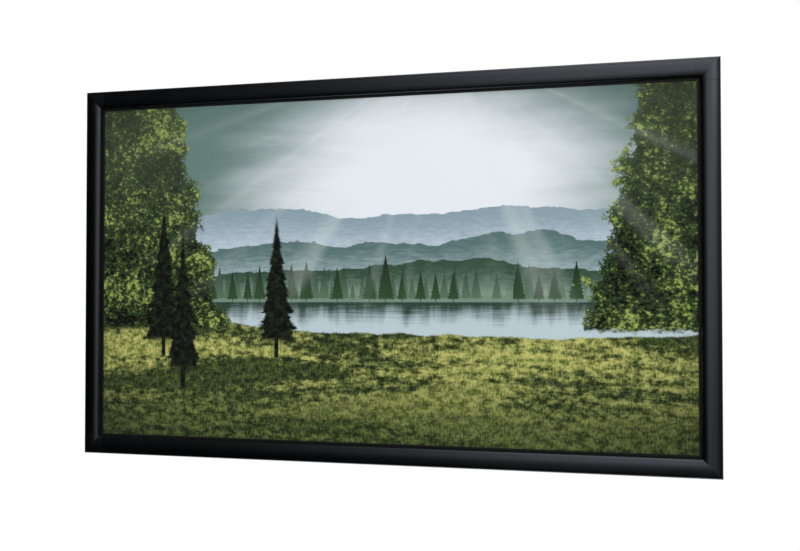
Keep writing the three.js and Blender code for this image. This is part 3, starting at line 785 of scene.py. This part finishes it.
def corner_mesh():
    """The section runs in along x, turns round the mitre and runs out along z."""
    near_end = [(lambda u, end=CORNER_SIDE - back: (end, u), inset) for back, inset in SEAM_RINGS]
    mitre = []
    for step in range(MITRE_STEPS + 1):
        a = math.pi / 2 * step / MITRE_STEPS
        shift = (MITRE_RADIUS * (1 - math.sin(a)), MITRE_RADIUS * (1 - math.cos(a)))
        mitre.append((lambda u, shift=shift: (u + shift[0], u + shift[1]), 0))
    far_end = [(lambda u, end=CORNER_SIDE - back: (u, end), inset) for back, inset in SEAM_RINGS[::-1]]

    def bent(point, bend):
        x, z = bend(point[0])
        return (x, point[1], z)

    block = mesh_of("corner_block", *prism(corner_loops(), [*near_end, *mitre, *far_end], bent))
    mesh = joined("corner_mesh", [block, *tongues()])
    mesh.materials.append(LOOK["corner"])
    mesh.materials.append(LOOK["groove"])
    end = (CORNER_SIDE - 0.01) * MM
    paint_matt(
        mesh, lambda point: min(point[0], point[2]), lambda face: max(face.center[0], face.center[2]) >= end
    )
    return mesh


def make_corners():
    mesh = corner_mesh()
    for word, corner in CORNERS.items():
        piece(f"corner_{word}", mesh, placing(corner), "corner_black", f"corner_block_{word}")


# Corner brackets and their screws


def circle(x, y, radius, steps=28):
    return [
        (x + radius * math.cos(2 * math.pi * i / steps), y + radius * math.sin(2 * math.pi * i / steps))
        for i in range(steps)
    ]


def bracket_mesh():
    near, far, end = BRACKET_NEAR, BRACKET_FAR, BRACKET_END
    level_arm = [(near, near, 3.0), (end, near, 2.0), (end, far, 2.0), (far, far, 1.5)]
    outline = rounded([*level_arm, (far, end, 2.0), (near, end, 2.0)], steps=6)
    holes = [
        circle(BRACKET_SCREW, CHANNEL_MIDDLE, BRACKET_HOLE_RADIUS),
        circle(CHANNEL_MIDDLE, BRACKET_SCREW, BRACKET_HOLE_RADIUS),
    ]
    rings = edged(BRACKET_FRONT, BRACKET_BACK, 0.35)
    mesh = mesh_of("bracket_mesh", *prism([outline, *holes], rings, platewise))
    mesh.materials.append(LOOK["zinc"])
    return mesh


def lathe(profile, steps):
    """Vertices and faces of a profile (radius, height) turned round the y axis."""
    vertices, faces, rows = [], [], []
    for radius, height in profile:
        if radius < 1e-6:
            rows.append([len(vertices)])
            vertices.append((0.0, height, 0.0))
            continue
        row = []
        for i in range(steps):
            a = 2 * math.pi * i / steps
            row.append(len(vertices))
            vertices.append((radius * math.cos(a), height, radius * math.sin(a)))
        rows.append(row)
    for lower, upper in zip(rows, rows[1:]):
        for i in range(steps):
            j = (i + 1) % steps
            low = [lower[i % len(lower)], lower[j % len(lower)]]
            high = [upper[j % len(upper)], upper[i % len(upper)]]
            faces.append(tuple(dict.fromkeys(low + high)))
    return vertices, faces


def recess_arm(turn):
    """One arm of the cross recess, which narrows towards its floor."""
    vertices = []
    for height, long, wide in ((0.7, 1.5, 0.35), (2.6, 3.1, 0.62)):
        for x, z in ((-long, -wide), (long, -wide), (long, wide), (-long, wide)):
            across = x * math.cos(turn) - z * math.sin(turn)
            up = x * math.sin(turn) + z * math.cos(turn)
            vertices.append((across, height, up))
    faces = [(0, 1, 2, 3), (4, 5, 6, 7)]
    faces += [(i, (i + 1) % 4, 4 + (i + 1) % 4, 4 + i) for i in range(4)]
    return mesh_of("recess_arm", vertices, faces)


def screw_mesh():
    """A pan head with a cross recess, on a plain shank."""
    head, rim, top, flat = 6.5, 0.8, 2.2, 2.6
    dome = [
        (flat + (head - flat) * math.cos(a), rim + (top - rim) * math.sin(a))
        for a in (math.pi / 2 * i / 8 for i in range(9))
    ]
    shank = [(0, -5.9), (2.0, -5.9), (2.5, -5.4), (2.5, -0.2), (2.7, 0)]
    body = mesh_of("screw_body", *lathe([*shank, (6.3, 0), (6.5, 0.15), *dome, (0, top)], 40))
    for turn in (0, math.pi / 2):
        body = combined(body, recess_arm(turn), "DIFFERENCE")
    body.materials.clear()
    body.materials.append(LOOK["zinc"])
    return body


def make_joints():
    bracket, screw = bracket_mesh(), screw_mesh()
    for word, corner in CORNERS.items():
        piece(f"bracket_{word}", bracket, placing(corner), "zinc_steel", f"corner_bracket_{word}")
        for number, x, z in ((1, BRACKET_SCREW, CHANNEL_MIDDLE), (2, CHANNEL_MIDDLE, BRACKET_SCREW)):
            turned = Matrix.Rotation(SCREW_TURN * number + corner["turn"], 4, "Y")
            matrix = placing(corner, z, x, BAR_DEPTH + GAP) @ turned
            piece(f"screw_{word}_{number}", screw, matrix, "zinc_steel", f"bracket_screw_{word}_{number}")


# The sheet, its rods and clips

FLAP_START = 63.0
FLAP_END = 80.0
FLAP_GAP = 0.05
FLAP_MITRE_GAP = 0.3
CORNER_EASE = 0.2
HEM_STEPS = 26
SHEET_LOOKS = ("picture", "welded", "black")
PICTURE, WELDED, BLACK = range(3)


def hem_paths():
    """The outer and inner faces of a hem, from the sheet's edge round the rod to the end of the flap."""
    paths = []
    for radius, flap_v, start in (
        (HEM_RADIUS, SHEET_FRONT + 2 * SHEET_THICKNESS + FLAP_GAP, FLAP_START),
        (HEM_BORE_RADIUS, SHEET_FRONT + SHEET_THICKNESS + FLAP_GAP, FLAP_START - 1.0),
    ):
        across, back = start - ROD_U, flap_v - ROD_V
        reach = math.hypot(across, back)
        finish = math.atan2(-across, -back) % (2 * math.pi) - math.acos(radius / reach)
        turn = [finish * i / HEM_STEPS for i in range(HEM_STEPS + 1)]
        path = [(ROD_U - radius * math.sin(a), ROD_V - radius * math.cos(a)) for a in turn]
        paths.append([*path, (start, flap_v), (FLAP_END, flap_v)])
    return paths


class Soup:
    """Vertices that are shared where they meet, and faces with a material number."""

    def __init__(self):
        self.vertices, self.faces, self.paints, self.known = [], [], [], {}

    def at(self, point):
        key = tuple(round(c, 4) for c in point)
        if key not in self.known:
            self.known[key] = len(self.vertices)
            self.vertices.append(tuple(point))
        return self.known[key]

    def face(self, points, paint):
        found = tuple(dict.fromkeys(self.at(p) for p in points))
        if len(found) > 2:
            self.faces.append(found)
            self.paints.append(paint)


def make_sheet():
    """One closed sheet: the flat with its notches, and on every side the hem round its rod."""
    outer, inner = hem_paths()
    knee = len(outer) - 2
    soup = Soup()
    outline = []
    back = SHEET_FRONT + SHEET_THICKNESS
    for word in ("bottom", "right", "top", "left"):
        side = SIDES[word]
        turn, dx, dz = side["turn"], side["x"], side["z"]

        def world(u, v, along, turn=turn, dx=dx, dz=dz):
            x = u * math.cos(turn) + along * math.sin(turn) + dx
            z = along * math.cos(turn) - u * math.sin(turn) + dz
            return (x, v, z)

        end = side["length"] / 2 - ROD_U - HEM_END_INSET
        stops = [end]
        for middle in reversed(clip_places(side)):
            stops += [middle + NOTCH_HALF, middle - NOTCH_HALF]
        stops.append(-end)

        def mitred(u, along, end=end):
            """Where a flap's end lies, cut back along the corner's diagonal."""
            cut = max(0.0, u - ROD_U - HEM_END_INSET + FLAP_MITRE_GAP)
            return along if abs(along) < end - 1e-6 else math.copysign(end - cut, along)

        def spot(path, i, along):
            u, v = path[i]
            return world(u, v, mitred(u, along))

        def between(one, other, a, b, paint):
            """The face between two points of the hem, from one place along the side to the next."""
            soup.face([spot(*one, a), spot(*other, a), spot(*other, b), spot(*one, b)], paint)

        outline.append((ROD_U + HEM_END_INSET + CORNER_EASE, end - CORNER_EASE, world))
        for i, stop in enumerate(stops):
            outline.append((ROD_U, stop, world))
            if i + 1 < len(stops) and i % 2:
                outline[-1:] = [(ROD_U, stop, world), (ROD_U + JAW_REACH, stop, world)]
                outline.append((ROD_U + JAW_REACH, stops[i + 1], world))
        for cell, (a, b) in enumerate(zip(stops, stops[1:])):
            hem = cell % 2 == 0
            for path, paint in ((outer, WELDED), (inner, BLACK)):
                for i in range(0 if hem else knee, knee + 1):
                    between((path, i), (path, i + 1), a, b, paint)
            tip = knee + 1
            between((outer, tip), (inner, tip), a, b, WELDED)
            if not hem:
                between((outer, knee), (inner, knee), a, b, WELDED)
        for number, stop in enumerate(stops):
            last = knee + 1 if number in (0, len(stops) - 1) else knee
            for i in range(last):
                outside = [spot(outer, i, stop), spot(outer, i + 1, stop)]
                soup.face([*outside, spot(inner, i + 1, stop), spot(inner, i, stop)], WELDED)
    flat = [(world(u, 0, along)[0], world(u, 0, along)[2], u) for u, along, world in outline]
    count = len(flat)
    for i in range(count):
        (ax, az, au), (bx, bz, bu) = flat[i], flat[(i + 1) % count]
        is_hem = au == ROD_U and bu == ROD_U
        if not is_hem:
            front_edge = [(ax, SHEET_FRONT, az), (bx, SHEET_FRONT, bz)]
            soup.face([*front_edge, (bx, back, bz), (ax, back, az)], WELDED)
    edge = [Vector((x, z, 0)) for x, z, _ in flat]
    wide, high = PICTURE_WIDTH / 2, PICTURE_HEIGHT / 2
    window = [(-wide, -high), (-wide, high), (wide, high), (wide, -high)]
    ring = [*[(x, z) for x, z, _ in flat], *window]
    for triangle in tessellate_polygon([edge, [Vector((x, z, 0)) for x, z in window]]):
        soup.face([(ring[i][0], SHEET_FRONT, ring[i][1]) for i in triangle], BLACK)
    soup.face([(x, SHEET_FRONT, z) for x, z in window], PICTURE)
    for triangle in tessellate_polygon([edge]):
        soup.face([(flat[i][0], back, flat[i][1]) for i in triangle], BLACK)

    mesh = bpy.data.meshes.new("sheet_mesh")
    mesh.from_pydata([(x * MM, y * MM, z * MM) for x, y, z in soup.vertices], [], soup.faces)
    for look in SHEET_LOOKS:
        mesh.materials.append(LOOK[look])
    mesh.polygons.foreach_set("material_index", soup.paints)
    work = bmesh.new()
    work.from_mesh(mesh)
    bmesh.ops.recalc_face_normals(work, faces=work.faces)
    work.to_mesh(mesh)
    work.free()
    shaded(mesh)
    in_place = Matrix.Translation((0, -WALL_PLANE / 2 * MM, 0))
    made = piece("sheet", mesh, in_place, "sheet_white", "projection_surface")


def make_rods():
    for word, side in SIDES.items():
        half = side["length"] / 2 - ROD_U - HEM_END_INSET
        solid = prism([circle(0, 0, ROD_RADIUS, 32)], edged(-half, half, 0.4), lengthwise)
        mesh = mesh_of(f"rod_{word}_mesh", *solid)
        mesh.materials.append(LOOK["fibreglass"])
        piece(f"rod_{word}", mesh, placing(side, 0, ROD_U, ROD_V), "rod_fibreglass", f"tension_rod_{word}")


def clip_mesh():
    """A moulded clip: a jaw round the rod, an arm, and a tail hooked behind the rail's ridge."""
    tail = RIDGE_START - GAP - CLIP_THICKNESS / 2
    over = RIDGE_TOP - GAP - CLIP_THICKNESS / 2
    bend = 1.3
    hook = [(tail, CHANNEL_FLOOR - GAP), (tail, over + bend)]
    hook += [
        (tail + bend * (1 - math.cos(a)), over + bend * (1 - math.sin(a)))
        for a in (math.pi / 2 * i / 6 for i in range(1, 7))
    ]
    jaw = [
        (ROD_U + JAW_RADIUS * math.cos(a), ROD_V + JAW_RADIUS * math.sin(a))
        for a in (math.pi / 2 - math.radians(195) * i / 26 for i in range(27))
    ]
    start = Vector((RIDGE_START + WALL + GAP, over))
    finish = Vector(jaw[0])
    arm = []
    for i in range(1, 8):
        share = i / 8
        lift = math.sin(math.pi * share) * 0.35
        point = start.lerp(finish, share)
        arm.append((point.x, point.y - lift))
    loop = strip_loop([*hook, tuple(start), *arm, *jaw], CLIP_THICKNESS)
    mesh = mesh_of("clip_mesh", *prism([loop], edged(-CLIP_WIDTH / 2, CLIP_WIDTH / 2, 0.5), lengthwise))
    mesh.materials.append(LOOK["nylon"])
    return mesh


def make_clips():
    mesh = clip_mesh()
    for word, side in SIDES.items():
        for number, along in enumerate(clip_places(side), 1):
            matrix = placing(side, along)
            piece(f"clip_{word}_{number}", mesh, matrix, "clip_nylon", f"tension_clip_{word}_{number}")


# Wall brackets


def wall_plate_mesh(hook_height):
    """A plate with two upright slots, and a shelf through the rail's slot that ends in a hook."""
    front = BAR_DEPTH + GAP
    half = PLATE_WIDTH / 2
    ends = ((PLATE_TOP, -half), (PLATE_FOOT, -half), (PLATE_FOOT, half), (PLATE_TOP, half))
    plate = rounded([(*end, PLATE_CORNER_RADIUS) for end in ends], steps=8)
    holes = []
    for way in (-1, 1):
        middle = way * PLATE_HOLE_SPACING / 2
        slot = []
        for shift, start in ((PLATE_HOLE_STRAIGHT, -math.pi / 2), (-PLATE_HOLE_STRAIGHT, math.pi / 2)):
            for i in range(13):
                a = start + math.pi * i / 12
                u = PLATE_HOLE_U + shift + PLATE_HOLE_RADIUS * math.cos(a)
                slot.append((u, middle + PLATE_HOLE_RADIUS * math.sin(a)))
        holes.append(slot)
    body = mesh_of("plate_body", *prism([plate, *holes], edged(front, WALL_PLANE, 0.4), platewise))
    tip = SHELF_OUTER - hook_height
    hook = rounded(
        [
            (SHELF_INNER, front + 1.2),
            (SHELF_INNER, HOOK_FRONT, 2.9),
            (tip, HOOK_FRONT, 0.9),
            (tip, HOOK_FRONT + PLATE_THICKNESS, 0.9),
            (SHELF_OUTER, HOOK_FRONT + PLATE_THICKNESS, 0.5),
            (SHELF_OUTER, front + 1.2),
        ],
        steps=6,
    )
    tongue = mesh_of("plate_hook", *prism([hook], edged(-half, half, 0.4), lengthwise))
    mesh = combined(body, tongue, "UNION")
    mesh.materials.clear()
    mesh.materials.append(LOOK["powder"])
    return mesh


def make_wall_plates():
    for level, word in (("upper", "top"), ("lower", "bottom")):
        mesh = wall_plate_mesh(HOOK_HEIGHTS[level])
        side = SIDES[word]
        for end, way in (("left", -1), ("right", 1)):
            along = way * (1 if word == "top" else -1) * (side["length"] / 2 - PLATE_FROM_SIDE)
            matrix = placing(side, along)
            piece(f"wall_plate_{level}_{end}", mesh, matrix, "bracket_black", f"wall_bracket_{level}_{end}")


make_rails()
make_corners()
make_joints()
make_rods()
make_sheet()
make_clips()
make_wall_plates()


# Stage, light and camera

FLOOR_Z = -1.7
FLOOR_HALF = 9
DOME_RADIUS = 60.0
KEY_PLACE = (4.2, -4.6, 3.4)
KEY_TARGET = (0.2, 0, 0)
KEY_SIZE = 3.2
KEY_POWER = 60


def stage_piece(name, vertices, faces, material):
    mesh = bpy.data.meshes.new(name)
    mesh.from_pydata(vertices, [], faces)
    mesh.materials.append(material)
    made = placed(name, mesh)
    return made


def floor_paint():
    """A pale floor that is plain under the part, where its shadow falls, and white further out."""
    g = Graph("floor_paint")
    cloud = g.noise(0.8, detail=4.0)
    base = g.mix(cloud, (0.80, 0.80, 0.80, 1), (0.84, 0.84, 0.84, 1))
    matt = {"Base Color": base, "Roughness": 0.9, "Specular IOR Level": 0.1}
    plain = g.node("ShaderNodeBsdfPrincipled", matt)
    white = g.node("ShaderNodeEmission", {"Strength": 1.0})
    away = g.math("SQRT", g.x * g.x + g.y * g.y)
    seen = g.node("ShaderNodeLightPath", {}).outputs["Is Camera Ray"]
    share = g.smooth(away, 0.6, 3.0) * seen
    both = g.node("ShaderNodeMixShader", {0: share, 1: plain.outputs[0], 2: white.outputs[0]})
    g.node("ShaderNodeOutputMaterial", {"Surface": both.outputs[0]})
    return g.material


def dome_glow():
    """What the gloss mirrors of the studio: a bright front, dark to the left, dimmer low and to the right."""
    g = Graph("dome_glow")
    x, y, z = g.x / DOME_RADIUS, g.y / DOME_RADIUS, g.z / DOME_RADIUS
    across = x - g.smooth(z, -0.15, 0.0, 0.06, 0.0)
    front = g.math("POWER", g.smooth(across, -0.44, -0.05), 2.0) * g.smooth(x, 0.3, 0.8, 1.0, 0.2)
    low = g.smooth(z, -0.5, -0.08, 0.3, 1.0) * g.smooth(z, -0.95, -0.6)
    low_right = g.smooth(x, -0.1, 0.03) * g.smooth(z, -0.12, 0.08, 0.76, 0.0)
    high = g.smooth(z, 0.5, 0.9, 0.0, 0.5) * g.smooth(x, -0.35, 0.0)
    behind = g.smooth(y, -0.15, 0.2, 1.0, 0.1)
    strength = (front * low * (1.0 - low_right) * 1.05 + high) * behind
    glow = g.node("ShaderNodeEmission", {"Strength": strength})
    g.node("ShaderNodeOutputMaterial", {"Surface": glow.outputs[0]})
    return g.material


def make_dome():
    """The front of the studio, seen only in the gloss: it casts no light and no shadow."""
    vertices, faces = [], []
    across, up = 24, 16
    for j in range(up + 1):
        rise = math.radians(-89 + 167 * j / up)
        for i in range(across + 1):
            turn = math.radians(-125 + 250 * i / across)
            flat = DOME_RADIUS * math.cos(rise)
            vertices.append((flat * math.sin(turn), -flat * math.cos(turn), DOME_RADIUS * math.sin(rise)))
    for j in range(up):
        for i in range(across):
            start = j * (across + 1) + i
            faces.append((start, start + 1, start + across + 2, start + across + 1))
    dome = stage_piece("dome", vertices, faces, dome_glow())
    dome.visible_camera = False
    dome.visible_diffuse = False
    dome.visible_transmission = False
    dome.visible_shadow = False


floor_ways = ((-1, -1), (1, -1), (1, 1), (-1, 1))
floor_corners = [(x * FLOOR_HALF, y * FLOOR_HALF, FLOOR_Z) for x, y in floor_ways]
floor = stage_piece("floor", floor_corners, [(0, 1, 2, 3)], floor_paint())
floor.visible_glossy = False
make_dome()

world = bpy.data.worlds.new("studio")
bpy.context.scene.world = world
world.use_nodes = True
nodes, links = world.node_tree.nodes, world.node_tree.links
path = nodes.new("ShaderNodeLightPath")
seen = path.outputs["Is Camera Ray"]
for kind in ("Is Glossy Ray", "Is Transmission Ray"):
    either = nodes.new("ShaderNodeMath")
    either.operation = "MAXIMUM"
    links.new(seen, either.inputs[0])
    links.new(path.outputs[kind], either.inputs[1])
    seen = either.outputs[0]
level = nodes.new("ShaderNodeMapRange")
links.new(seen, level.inputs["Value"])
level.inputs["To Min"].default_value = 0.85
level.inputs["To Max"].default_value = 1.0
links.new(level.outputs["Result"], nodes["Background"].inputs["Strength"])
nodes["Background"].inputs["Color"].default_value = (1, 1, 1, 1)


lamp = bpy.data.lights.new("key", "AREA")
lamp.shape = "RECTANGLE"
lamp.size = lamp.size_y = KEY_SIZE
lamp.energy = KEY_POWER
key = placed("key", lamp)
key.location = KEY_PLACE
key.rotation_euler = (Vector(KEY_TARGET) - Vector(KEY_PLACE)).to_track_quat("-Z", "Y").to_euler()

camera = bpy.data.cameras.new("camera")
camera.sensor_width = 36.0
camera.sensor_fit = "HORIZONTAL"
camera.lens = 48.29
camera.clip_end = 200
viewer = placed("camera", camera)
viewer.location = (1.104, -3.6947, -0.1075)
viewer.rotation_euler = (math.radians(91.29), 0.0, math.radians(15.488))
bpy.context.scene.camera = viewer

bpy.context.scene.view_settings.view_transform = "Standard"
